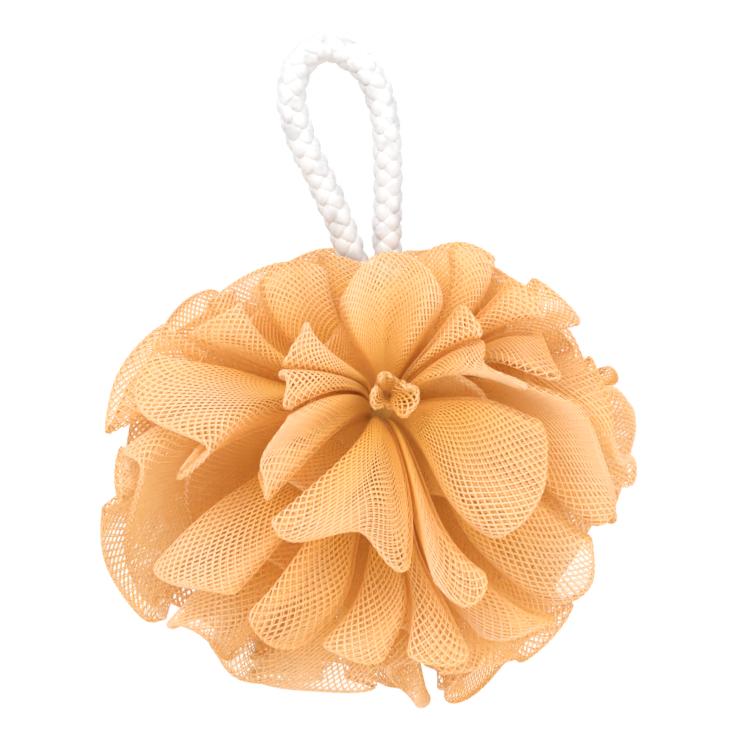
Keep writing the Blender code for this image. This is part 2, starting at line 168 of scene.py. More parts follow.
def plait(line):
    """Six flattened strands weaving over and under each other round a line."""
    ahead, side, up = sides_of(line)
    along = np.linspace(0.0, (len(line) - 1) * STRAND_STEP, len(line))
    turn = 2.0 * np.pi * along / PLAIT_PITCH
    weave = np.cos(STRANDS_EACH_WAY * turn)
    generator = random.Random(PLAIT_SEED)
    positions, faces, uvs = [], [], []
    strands = 2 * STRANDS_EACH_WAY
    ring = 2.0 * np.pi * np.arange(STRAND_SIDES) / STRAND_SIDES
    step, turned = np.meshgrid(np.arange(len(line) - 1), np.arange(STRAND_SIDES), indexing="ij")
    after = (turned + 1) % STRAND_SIDES
    column = np.abs(np.arange(STRAND_SIDES) / STRAND_SIDES * 2.0 - 1.0)
    for strand in range(strands):
        hand = 1.0 if strand % 2 == 0 else -1.0
        start = 2.0 * np.pi * (strand // 2) / STRANDS_EACH_WAY
        angle = hand * turn + start + FIRST_STRAND_TURN
        slack = 1.0 + SLACK_SHARE * np.sin(along / SLACK_LENGTH + generator.uniform(0.0, 6.0))
        radius = PLAIT_RADIUS * slack + hand * PLAIT_WEAVE * weave
        outward = side * np.cos(angle)[:, None] + up * np.sin(angle)[:, None]
        centre = line + outward * radius[:, None]
        run = unit(np.gradient(centre, axis=0))
        outward = unit(outward - run * np.sum(run * outward, axis=1, keepdims=True))
        flat = np.cross(run, outward)
        plump = 1.0 + PLUMP_SHARE * hand * weave
        wide = flat[:, None] * (np.cos(ring) * STRAND_WIDTH / 2.0)[None, :, None]
        tall = outward[:, None] * (np.sin(ring) * STRAND_THICKNESS / 2.0)[None, :, None]
        skin = centre[:, None] + (wide + tall) * plump[:, None, None]
        base = strand * len(line) * STRAND_SIDES
        positions.append(skin.reshape(-1, 3))
        near, far = base + step * STRAND_SIDES, base + (step + 1) * STRAND_SIDES
        skin_faces = np.stack((near + turned, near + after, far + after, far + turned), -1)
        faces.append(skin_faces.reshape(-1, 4))
        across = (strand + 0.05 + 0.9 * column) / strands
        spread = np.stack(np.meshgrid(along / along[-1], across, indexing="ij"), -1)
        uvs.append(spread.reshape(-1, 2))
    return np.concatenate(positions), np.concatenate(faces), np.concatenate(uvs)


def node(tree, kind, label, x, y, **settings):
    """Add a shader node and set its plain settings."""
    made = tree.nodes.new(kind)
    made.label = label
    made.location = (x, y)
    for key, value in settings.items():
        setattr(made, key, value)
    return made


def new_material(name, roughness, specular=0.5):
    """A material with its Principled shader, and the tree that the rest is added to."""
    material = bpy.data.materials.new(name)
    material.use_nodes = True
    shader = material.node_tree.nodes["Principled BSDF"]
    shader.inputs["Roughness"].default_value = roughness
    shader.inputs["Specular IOR Level"].default_value = specular
    return material, material.node_tree, shader


def yarn_group():
    """Fine twisted filaments on a cord: a height and a painted shade mask that change over it.
    """
    group = bpy.data.node_groups.new("twisted_yarn", "ShaderNodeTree")
    group.interface.new_socket("Scale", in_out="INPUT", socket_type="NodeSocketFloat")
    group.interface.new_socket("Height", in_out="OUTPUT", socket_type="NodeSocketFloat")
    group.interface.new_socket("Shade", in_out="OUTPUT", socket_type="NodeSocketFloat")
    entry = node(group, "NodeGroupInput", "in", -800, 0)
    leave = node(group, "NodeGroupOutput", "out", 400, 0)
    place = node(group, "ShaderNodeTexCoord", "place", -800, -200)
    fibre = node(group, "ShaderNodeTexNoise", "filaments", -400, 100)
    fibre.inputs["Detail"].default_value = 3.0
    fibre.inputs["Distortion"].default_value = 0.4
    # This noise both raises the slack yarn and places the painted shade.
    lumps_and_shade = node(group, "ShaderNodeTexNoise", "slack yarn and painted shade", -400, -200)
    lumps_and_shade.inputs["Scale"].default_value = 260.0
    lumps_and_shade.inputs["Detail"].default_value = 2.0
    both = node(group, "ShaderNodeMath", "filaments and slack", 0, 0, operation="ADD")
    group.links.new(place.outputs["Object"], fibre.inputs["Vector"])
    group.links.new(place.outputs["Object"], lumps_and_shade.inputs["Vector"])
    group.links.new(entry.outputs["Scale"], fibre.inputs["Scale"])
    group.links.new(fibre.outputs["Fac"], both.inputs[0])
    group.links.new(lumps_and_shade.outputs["Fac"], both.inputs[1])
    group.links.new(both.outputs[0], leave.inputs["Height"])
    group.links.new(lumps_and_shade.outputs["Fac"], leave.inputs["Shade"])
    return group


def cord_material(name, yarn, light, painted_shade_colour, roughness, fineness, raised_by, sheen):
    """Yarn for the rope or the tie, with raised filaments and painted shade for its creases."""
    material, tree, shader = new_material(name, roughness, specular=0.45)
    shader.inputs["Sheen Weight"].default_value = sheen
    fine = node(tree, "ShaderNodeGroup", "yarn", -700, 0, node_tree=yarn)
    fine.inputs["Scale"].default_value = fineness
    # Painted shade: where the noise is low, the yarn takes the shade colour.
    colour = node(tree, "ShaderNodeMix", "yarn colour and painted shade", -350, 150, data_type="RGBA")
    colour.inputs["A"].default_value = painted_shade_colour
    colour.inputs["B"].default_value = light
    tone = node(tree, "ShaderNodeMapRange", "tone", -520, 150)
    tone.inputs["From Min"].default_value = 0.30
    tone.inputs["From Max"].default_value = 0.50
    raised = node(tree, "ShaderNodeBump", "filaments", -350, -150)
    raised.inputs["Strength"].default_value = 0.35
    raised.inputs["Distance"].default_value = raised_by
    tree.links.new(fine.outputs["Shade"], tone.inputs["Value"])
    tree.links.new(tone.outputs["Result"], colour.inputs["Factor"])
    tree.links.new(colour.outputs["Result"], shader.inputs["Base Color"])
    tree.links.new(fine.outputs["Height"], raised.inputs["Height"])
    tree.links.new(raised.outputs["Normal"], shader.inputs["Normal"])
    return material


yarn = yarn_group()
rope_material = cord_material(
    "white_plaited_yarn", yarn, ROPE_COLOUR, ROPE_PAINTED_SHADE_COLOUR,
    roughness=0.46, fineness=2600.0, raised_by=0.12 * MM, sheen=0.12)
rope_line = smooth_route(rope_route(), STRAND_STEP)
rope_positions, rope_faces, rope_uvs = plait(rope_line)
hanging_loop = add_piece("hanging_loop_plait", rope_positions, rope_faces, rope_material,
                         rope_uvs)
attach(hanging_loop, "root")
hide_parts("hanging_loop")

# Tie
# A thin off-white cord wound tight round the bunched netting, just under the rope's ends.
# It sits deep in the ball, so its own solid stays and only gets its yarn.
TIE_COLOUR = (0.80, 0.78, 0.73, 1.0)
# Painted shade: the tie's yarn takes this darker colour in patches, standing for its creases.
TIE_PAINTED_SHADE_COLOUR = (0.62, 0.60, 0.55, 1.0)

tie_material = cord_material(
    "off_white_tie_yarn", yarn, TIE_COLOUR, TIE_PAINTED_SHADE_COLOUR,
    roughness=0.6, fineness=3800.0, raised_by=0.1 * MM, sheen=0.0)
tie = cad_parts["tie_cord"]
for tie_slot in tie.material_slots:
    tie_slot.material = tie_material

# Netting
# A long flattened tube of orange plastic net, bunched on its middle and tied. It fans out
# in seven rows of ruffles whose folded edges make the ball. Each row is a net of thin
# strands welded where they cross, in two layers that join round the row's outer edge.
BALL_HALF = np.array([69.0, 61.0, 58.5]) * MM
WAIST_RADIUS = 7.5 * MM
WAIST_HALF_LENGTH = 13.5 * MM
EDGE_THICKNESS = 1.4 * MM
ROOT_THICKNESS = 0.4 * MM
PRESSED_SHARE = 0.22
CLEARANCE = 0.3 * MM
FIRST_LEAST = 0.8 * MM
FIRST_REACH = 17.0 * MM
SECOND_REACH = 7.0 * MM
ROPE_ROOM = 1.3 * MM
# Seven rows from the front to the back, then the small tucks that fill both dimples.
# A row's place is 1 at the front dimple and -1 at the back one, and a swing is how far its
# ruffle reaches to both sides of its place.
ROW_PLACES = (0.82, 0.47, 0.16, -0.13, -0.37, -0.61, -0.86, 1.02, -1.02)
ROW_SWINGS = (0.185, 0.118, 0.118, 0.098, 0.100, 0.105, 0.130, 0.02, 0.02)
FIRST_TUCK = 7
POLE_ANGLE = math.radians(62.0)
# Petals: width as a part of the whole round, how far the fold doubles back, and how full
# the petal is. A row's first petal starts at an angle in degrees, counted from the right.
FRONT_PETALS = (
    (28, 1.2, 1.05), (30, 1.2, 1.00), (80, 0.55, 1.00), (36, 1.3, 1.02), (34, 1.4, 1.00),
    (30, 1.3, 1.00), (66, 1.2, 1.02), (22, 1.2, 1.03), (62, 1.0, 1.03),
)
FRONT_START = 0.0
# How far the front petals reach from the dimple, in millimetres, at angles round it.
FRONT_REACH = (
    (-70, 52), (-48, 46), (-22, 46), (2, 46), (18, 34), (36, 42), (56, 44), (90, 51), (122, 40),
    (142, 36), (166, 34), (190, 35), (210, 41), (232, 45), (256, 41), (276, 48),
)
LEFT_PETAL_ANGLE = 184.0
LEFT_PETAL_SPAN = 34.0
LEFT_PETAL_TURN = math.radians(6.0)
# For each row, how far the valleys sink between its petals and how broadly the petals open.
ROW_VALLEYS = (0.34, 0.12, 0.0, 0.0, 0.0, 0.0, 0.0, 0.64, 0.64)
ROW_BREADTHS = (0.3, 0.2, 0.1, 0.0, 0.0, 0.0, 0.0, 0.0, 0.0)
SECOND_PETALS = (
    (22, 1.0, 1.00), (26, 0.9, 1.02), (26, 1.0, 1.00), (34, 0.7, 0.92), (30, 1.0, 1.00),
    (24, 1.0, 1.00), (54, 1.1, 1.03), (24, 1.2, 1.00), (22, 1.2, 1.02), (26, 1.3, 1.00),
    (20, 1.1, 1.01), (22, 1.2, 1.00), (24, 1.2, 1.01), (30, 1.3, 1.02),
)
SECOND_START = 7.0
HIDDEN_ROW_PETALS = (10, 9, 9, 8, 7)
# The two rows in front of the rope stay low where it comes out, at this angle in degrees.
NOTCHED_ROWS = (1, 2)
NOTCH_ANGLE = 90.0 + math.degrees(0.10)
NOTCH_SPAN = 17.0
NOTCH_DEPTH = 0.22
TUCK_PETALS = ((150, 0.5, 0.35), (95, 0.6, 0.28), (115, 0.6, 0.31))
TUCK_START = -95.0
SEED = 11
# How the rows wander: depths of their waves and flutes in places, of their swirls in radians.
FLUTES = 8.0
FLUTE_DEPTH = 0.13
BROAD_WAVE = 0.12
NARROW_WAVE = 0.075
BROAD_SWIRL = 0.24
NARROW_SWIRL = 0.07
SPOON_BEND = 0.88
# Bends of handled netting: wavelength and depth in metres, and how many cross each other.
SWAYS = ((0.075, 0.0042, 4), (0.030, 0.0010, 5))
# Patches of ruffles turned out of their rows: heading, height, size and turn in degrees.
TURNED_PATCHES = (
    (78, -8, 44, 44), (-90, -4, 44, -42), (172, -18, 46, 50), (-136, 26, 38, -34),
    (128, 28, 38, 36), (12, -78, 44, 40), (-148, -50, 36, -32),
)
# The net: half the width of a cell at the outer edge, the strands, and how they change.
STRAND_SPACING = 0.92 * MM
STRAND_BROAD = 0.40 * MM
ROOT_STRAND_SHARE = 0.25    # how broad a strand looks near the waist, where cells close up
EDGE_SWELL = 0.7            # how much broader they look where they bunch along the fold
EDGE_SWELL_LEVELS = 2.2
STRAND_LEAN = math.radians(26.0)
NET_LEVELS = 41             # crossings from a row's root to its edge, in each layer
TUCK_LEVELS = 8
EDGE_LEVELS = 4             # crossings on the turn round the edge
LEVEL_CROWDING = 0.86       # below 1, the crossings stand closer towards the edge
# The share of the way from the waist at which each row's net starts.
ROW_ROOTS = (0.06, 0.26, 0.28, 0.28, 0.28, 0.26, 0.10, 0.30, 0.30)
# How finely the gap between the two layers of a row is worked out.
WALL_LEVELS = 9
WALL_PLACES = 16
SAME_FOLD_PLACES = 4
# The bundle in the tie.
CORE_END = 0.70
CORE_PLACES = 25
CORE_SIDES = 240
CORE_PLEATS = 60
CORE_PLEAT_DEPTH = 0.05
CORE_TUCKS = 5
CORE_TUCK_DEPTH = 0.18
CORE_REACH = 0.19
# The net is pale at its outer edge, open to the light; painted shade makes it deep orange in
# the folds, between two distances from the middle of the ball and where folds shut each other
# in.
NET_EDGE_COLOUR = (0.92, 0.765, 0.56, 1.0)
NET_PAINTED_SHADE_COLOUR = (0.98, 0.60, 0.12, 1.0)
NET_GLOW_COLOUR = (0.97, 0.70, 0.32, 1.0)
NET_ROUGHNESS = 0.42
NET_SHEEN = 0.10
NET_LIGHT_THROUGH = 0.42
PAINTED_SHADE_FULL_DISTANCE = 42.0 * MM
PAINTED_SHADE_END_DISTANCE = 72.0 * MM
PAINTED_SHADE_PATCHES = 0.03
PAINTED_SHADE_BY_FOLD = -0.05
SHUT_IN_DISTANCE = 14.0 * MM


def smooth(value):
    """Ease from 0 to 1 as value goes from 0 to 1."""
    value = np.clip(value, 0.0, 1.0)
    return value * value * (3.0 - 2.0 * value)


def round_table(table, angle):
    """Read a smooth closed curve through (degrees, value) pairs at an angle in radians."""
    stops = sorted((pair[0] % 360.0, pair[1]) for pair in table)
    places = np.array([stop[0] for stop in stops])
    values = np.array([stop[1] for stop in stops])
    places = np.concatenate((places, [places[0] + 360.0]))
    values = np.concatenate((values, [values[0]]))
    degrees = (np.degrees(angle) - places[0]) % 360.0 + places[0]
    index = np.clip(np.searchsorted(places, degrees, side="right") - 1, 0, len(places) - 2)
    share = (degrees - places[index]) / (places[index + 1] - places[index])
    return values[index] + (values[index + 1] - values[index]) * smooth(share)


def outline_distance(direction):
    """Distance from the gather to the ball's outer surface along unit directions."""
    scaled = direction / BALL_HALF
    start = GATHER / BALL_HALF
    a = np.sum(scaled * scaled, axis=-1)
    b = np.sum(scaled * start, axis=-1)
    c = np.sum(start * start) - 1.0
    return (-b + np.sqrt(b * b - a * c)) / a


def end_angle(place, angle):
    """Angle off the gather axis at which a ruffle of this place meets the ball's surface."""
    reach = round_table(FRONT_REACH, angle) * MM
    front = np.arcsin(np.clip(reach / BALL_HALF[1], -0.95, 0.95))
    shift = front - (math.pi / 2.0 - POLE_ANGLE * ROW_PLACES[0])
    # The second row opens a little further to the left, where the photo's long petal lies.
    left = np.exp(-((np.degrees(angle) % 360.0 - LEFT_PETAL_ANGLE) / LEFT_PETAL_SPAN) ** 2)
    widen = LEFT_PETAL_TURN * left * np.exp(-((place - ROW_PLACES[1]) / 0.27) ** 2)
    return math.pi / 2.0 - POLE_ANGLE * place + shift * smooth((place + 0.1) / 0.9) + widen


def turn_patches(points):
    """Turn round patches of the ball in place, most at the middle and at the surface."""
    scaled = points / BALL_HALF
    for heading, height, size, turn in TURNED_PATCHES:
        heading, height = math.radians(heading), math.radians(height)
        centre = np.array([math.sin(heading) * math.cos(height),
                           -math.cos(heading) * math.cos(height), math.sin(height)])
        depth = np.linalg.norm(scaled, axis=-1)
        aside = np.arccos(np.clip(scaled.dot(centre) / np.maximum(depth, 1e-9), -1.0, 1.0))
        amount = smooth(1.0 - aside / math.radians(size)) * smooth((depth - 0.32) / 0.6)
        angle = (math.radians(turn) * amount)[..., None]
        axial = centre * scaled.dot(centre)[..., None]
        sideways = np.cross(centre, scaled)
        scaled = axial + (scaled - axial) * np.cos(angle) + sideways * np.sin(angle)
    return scaled * BALL_HALF


def sway(points, ease):
    """Bend everything gently and irregularly, as handled netting is."""
    moved = points.copy()
    generator = random.Random(SEED + 5)
    for wave, depth, count in SWAYS:
        for _ in range(count):
            along = np.array([generator.gauss(0.0, 1.0) for _ in range(3)])
            along /= np.linalg.norm(along)
            push = np.array([generator.gauss(0.0, 1.0) for _ in range(3)])
            push -= along * push.dot(along)
            push /= np.linalg.norm(push)
            turn = generator.uniform(0.0, 2.0 * math.pi)
            wavelength = wave * generator.uniform(0.85, 1.2)
            phase = points.dot(along) * (2.0 * math.pi / wavelength) + turn
            moved += (np.sin(phase) * ease * depth / math.sqrt(count))[..., None] * push
    return moved


def fold_over(place, angle, along):
    """Let the rows wander in flutes and swirls: the changed place and angle of each point."""
    # The rows wander to the front and back in slow waves and in flutes that run out from
    # the dimple. They keep still where the rope comes out. Straight below it, the waves are
    # weaker and the flutes deeper.
    away = 1.0 - np.exp(-((angle - math.pi / 2.0 - 0.05) / 0.5) ** 2)
    below = np.exp(-(((np.degrees(angle) - 98.0) % 360.0 - 180.0) / 58.0) ** 4)
    drift = BROAD_WAVE * np.sin(4.0 * angle + 0.9)
    drift = drift + NARROW_WAVE * np.sin(7.0 * angle + 2.6 + place)
    flute = FLUTES * angle + 0.9 * np.sin(2.0 * angle + 0.4) + 0.7 * np.sin(3.0 * angle + 1.0)
    deep = FLUTE_DEPTH * (1.0 + 0.3 * np.sin(3.0 * angle + 2.4) + 0.3 * below)
    drift = drift * (1.0 - 0.7 * below) + deep * np.sin(flute)
    drift = drift * (1.0 - np.minimum(place * place, 1.0))
    place = place + drift * away * along
    swirl = BROAD_SWIRL * np.sin(2.0 * angle + 3.0 * place + 0.6)
    swirl = swirl + NARROW_SWIRL * np.sin(5.0 * angle - 4.0 * place + 2.1)
    # The front rows bow to one side halfway along, so their petals curve like spoons.
    ahead = smooth((place + 0.15) / 0.6)
    bend = SPOON_BEND * np.sin(3.0 * angle + 1.0) * ahead * along * (1.0 - along)
    return place, angle + swirl * (1.0 - ahead) * away * along * along + bend


def ruffle_curve(place, angle, along):
    """How far out and how far forward a point is on the curve from the waist to the edge."""
    theta = end_angle(place, angle)
    flat = AXIS_RIGHT * np.cos(angle)[..., None] + AXIS_UP * np.sin(angle)[..., None]
    direction = AXIS_FRONT * np.cos(theta)[..., None] + flat * np.sin(theta)[..., None]
    distance = outline_distance(direction)
    end_out = distance * np.sin(theta)
    end_front = distance * np.cos(theta)
    size = np.abs(place)
    root_out = WAIST_RADIUS * (1.0 - 0.85 * size * size)
    root_front = WAIST_HALF_LENGTH * (1.35 * place + 1.1 * place**3)
    # The first handle leads the curve out of the waist, the second one into the edge.
    first_out = FIRST_LEAST + FIRST_REACH * np.clip(1.06 - size, 0.0, 1.06) ** 1.6
    first_front = 0.80 * BALL_HALF[1] * place
    second_out = end_out * (0.72 - 0.19 * size)
    second_front = end_front + SECOND_REACH * place * (1.0 - 0.75 * place * place)
    back = 1.0 - along
    w0, w1, w2, w3 = back**3, 3 * back**2 * along, 3 * back * along**2, along**3
    out = w0 * root_out + w1 * first_out + w2 * second_out + w3 * end_out
    front = w0 * root_front + w1 * first_front + w2 * second_front + w3 * end_front
    return out, front


def place_netting(place, angle, along):
    """Point of the ball for a row place, an angle round the axis and a share of the ruffle."""
    place, angle = fold_over(place, angle, along)
    out, front = ruffle_curve(place, angle, along)
    across = out * np.cos(angle)
    up = out * np.sin(angle)
    # The seam between the third and fourth rows opens round the legs of the rope.
    room = ROPE_DIAMETER / 2.0 + CLEARANCE + EDGE_THICKNESS / 2.0 + ROPE_ROOM
    beside = 1.0 - smooth((np.abs(across) - 1.15 * ROPE_DIAMETER) / (1.6 * ROPE_DIAMETER))
    above = smooth((up - 0.9 * WAIST_RADIUS) / (0.7 * WAIST_RADIUS))
    opening = room * beside * above
    side = np.where(place >= 0.0, 1.0, -1.0)
    front = front + side * opening * np.exp(-np.abs(place) / 0.26)
    points = (GATHER + AXIS_RIGHT * across[..., None] + AXIS_UP * up[..., None]
              + AXIS_FRONT * front[..., None])
    radius = np.sqrt(out * out + front * front)
    ease = smooth((radius - 2.0 * WAIST_RADIUS) / (3.5 * WAIST_RADIUS))
    beside_rope = np.exp(-(front / (2.2 * room)) ** 2)
    ease = ease * (1.0 - np.clip(opening / room, 0.0, 1.0) * beside_rope)
    return sway(turn_patches(points), ease)


def row_petals(row):
    """List a row's petals: start angle, width in radians, doubling back and fullness."""
    if row == 0:
        petals, start = FRONT_PETALS, FRONT_START
    elif row == 1:
        petals, start = SECOND_PETALS, SECOND_START
    elif row >= FIRST_TUCK:
        petals, start = TUCK_PETALS, TUCK_START
    else:
        generator = random.Random(SEED + row)
        petals = []
        for _ in range(HIDDEN_ROW_PETALS[row - 2]):
            petals.append((generator.uniform(0.7, 1.35), generator.uniform(0.9, 1.4),
                           generator.uniform(0.96, 1.04)))
        start = generator.uniform(0.0, 30.0)
    total = sum(petal[0] for petal in petals)
    listed = []
    angle = math.radians(start)
    for width, fold, full in petals:
        width = 2.0 * math.pi * width / total
        listed.append((angle, width, fold, full))
        angle += width
    return listed


def ruffle_points(row, places, levels):
    """Middle surface of a row of ruffles, at places counted in petals round the row."""
    petals = row_petals(row)
    count = len(petals)
    generator = random.Random(SEED + 20 + row)
    valley = [generator.uniform(0.75, 1.0) for _ in petals]
    valley_full = [generator.uniform(0.82, 0.93) - ROW_VALLEYS[row] for _ in petals]
    lean = [generator.uniform(-0.10, 0.10) for _ in petals]
    index = np.floor(places).astype(int) % count
    share = places % 1.0
    start = np.array([petal[0] for petal in petals])[index]
    width = np.array([petal[1] for petal in petals])[index]
    fold = np.array([petal[2] for petal in petals])[index]
    full = np.array([petal[3] for petal in petals])[index]
    side = np.where(share < 0.5, index, (index + 1) % count)
    hill = 0.5 - 0.5 * np.cos(2.0 * np.pi * share)
    low = np.array(valley)[side]
    low_full = np.array(valley_full)[side]
    tilt = np.array(lean)[index] * hill
    sign = 1.0 if ROW_PLACES[row] > 0.0 else -1.0
    lines = []
    for level in levels:
        grown = smooth(level / 0.9)
        swing = ROW_SWINGS[row] * (0.12 + 0.88 * grown)
        place = ROW_PLACES[row] + sign * swing * (hill - low * (1.0 - hill))
        double = 0.22 + (fold - 0.22) * grown
        shift = share + double / (2.0 * np.pi) * np.sin(4.0 * np.pi * share)
        shift = shift - ROW_BREADTHS[row] / (2.0 * np.pi) * np.sin(2.0 * np.pi * share)
        angle = start + width * (shift + tilt * level * level)
        edge = low_full + (full - low_full) * hill
        notch = (np.degrees(angle) - NOTCH_ANGLE) / NOTCH_SPAN
        keep_low = np.exp(-(notch**2)) if row in NOTCHED_ROWS else 0.0
        along = level * (edge - NOTCH_DEPTH * keep_low)
        lines.append(place_netting(place, angle, along))
    return np.array(lines)


def even_places(row):
    """Places round a row that are evenly spaced along its outer edge."""
    dense = np.linspace(0.0, len(row_petals(row)), 60 * len(row_petals(row)) + 1)
    edge = ruffle_points(row, dense, [0.9])[0]
    steps = np.linalg.norm(np.diff(edge, axis=0), axis=1)
    length = np.concatenate(([0.0], np.cumsum(steps)))
    columns = 2 * int(length[-1] / STRAND_SPACING / 2.0)
    return np.interp(np.arange(columns) / columns * length[-1], length, dense)


def room_between(rows_of_points):
    """Distance from each coarse point to the nearest other fold, level by level."""
    rooms = []
    for row, lines in enumerate(rows_of_points):
        count = lines.shape[1]
        step = np.abs(np.arange(count)[:, None] - np.arange(count)[None, :])
        near = np.minimum(step, count - step) < SAME_FOLD_PLACES
        levels = []
        for level, here in enumerate(lines):
            apart = np.linalg.norm(here[:, None] - here[None, :], axis=-1)
            apart[near] = 1.0
            room = apart.min(axis=1)
            for other in (row - 1, row + 1):
                if 0 <= other < len(rows_of_points):
                    across = here[:, None] - rows_of_points[other][level][None, :]
                    room = np.minimum(room, np.linalg.norm(across, axis=-1).min(axis=1))
            levels.append(room)
        rooms.append(np.array(levels))
    return rooms


def half_walls():
    """Half the gap between the two layers, on a coarse grid of levels and places."""
    levels = np.linspace(0.0, 1.0, WALL_LEVELS)
    places, lines = [], []
    for row in range(len(ROW_PLACES)):
        count = len(row_petals(row))
        places.append(np.arange(WALL_PLACES * count) / WALL_PLACES)
        lines.append(ruffle_points(row, places[row], levels))
    thickness = ROOT_THICKNESS + (EDGE_THICKNESS - ROOT_THICKNESS) * levels**1.5
    walls = [np.minimum(thickness[:, None] / 2.0, 2.0 * PRESSED_SHARE * room)
             for room in room_between(lines)]
    return levels, places, walls


def read_wall(row, levels, places):
    """Half the gap between the layers at the net's own levels and places."""
    coarse_levels, coarse_places, walls = walls_found
    count = float(len(row_petals(row)))
    grid = np.array([np.interp(places, coarse_places[row], line, period=count)
                     for line in walls[row]])
    at = np.interp(levels, coarse_levels, np.arange(len(coarse_levels)))
    low = np.minimum(at.astype(int), len(coarse_levels) - 2)
    share = (at - low)[:, None]
    return grid[low] * (1.0 - share) + grid[low + 1] * share


def net_strip(row):
    """The crossings of a row's net, from one layer's root round the edge to the other's."""
    places = even_places(row)
    root = ROW_ROOTS[row]
    steps = TUCK_LEVELS if row >= FIRST_TUCK else NET_LEVELS
    levels = root + (1.0 - root) * np.linspace(0.0, 1.0, steps) ** LEVEL_CROWDING
    middle = ruffle_points(row, places, levels)
    around = unit(np.roll(middle, -1, axis=1) - np.roll(middle, 1, axis=1))
    outward = unit(np.gradient(middle, axis=0))
    normal = unit(np.cross(outward, around))
    half = read_wall(row, levels, places)[..., None]
    front = list(middle + normal * half)
    back = list(middle - normal * half)
    rim = []
    for step in range(1, EDGE_LEVELS + 1):
        turn = math.pi * step / (EDGE_LEVELS + 1)
        rim.append(middle[-1] + (normal[-1] * math.cos(turn) + outward[-1] * math.sin(turn))
                   * half[-1])
    return np.array(front + rim + back[::-1])


def weave_net(row):
    """The row's strands: two sets of ribbons that cross at every other lattice point."""
    points = net_strip(row)
    levels, columns = points.shape[:2]
    outward = np.gradient(points, axis=0)
    around = np.roll(points, -1, axis=1) - np.roll(points, 1, axis=1)
    normal = unit(np.cross(outward, around))
    cell = np.linalg.norm(around, axis=-1, keepdims=True) / (2.0 * STRAND_SPACING)
    open_share = ROOT_STRAND_SHARE + (1.0 - ROOT_STRAND_SHARE) * np.minimum(cell, 1.0)
    positions, faces, uvs = [], [], []
    base = 0
    top = levels * columns
    level, column = np.meshgrid(np.arange(levels), np.arange(columns), indexing="ij")
    from_fold = (np.arange(levels) - (levels - 1) / 2.0) / EDGE_SWELL_LEVELS
    swell = 1.0 + EDGE_SWELL * np.exp(-from_fold**2)
    broad = STRAND_BROAD * swell[:, None, None] * open_share
    for climb in (1, -1):
        lean = climb * STRAND_LEAN
        ahead = np.clip(np.arange(levels) + climb, 0, levels - 1)
        behind = np.clip(np.arange(levels) - climb, 0, levels - 1)
        run = np.roll(points[ahead], -1, axis=1) - np.roll(points[behind], 1, axis=1)
        flat = unit(np.cross(run, normal))
        reach = (flat * math.cos(lean) + normal * math.sin(lean)) * broad
        lower = points - reach / 2.0
        upper = points + reach / 2.0
        positions.extend((lower.reshape(-1, 3), upper.reshape(-1, 3)))
        for lift in (-0.45, 0.45):
            spread = np.stack((column / columns, (level + 0.5 + lift) / levels), -1)
            uvs.append(spread.reshape(-1, 2))
        next_level = level + climb
        used = ((level + column) % 2 == 0) & (next_level >= 0) & (next_level < levels)
        here = base + (level * columns + column)[used]
        there = base + (next_level * columns + (column + 1) % columns)[used]
        faces.append(np.stack((here, there, there + top, here + top), -1))
        base += 2 * top
    positions, uvs = np.concatenate(positions), np.concatenate(uvs)
    faces = np.concatenate(faces)
    kept, faces = np.unique(faces, return_inverse=True)
    return positions[kept], faces.reshape(-1, 4), uvs[kept]


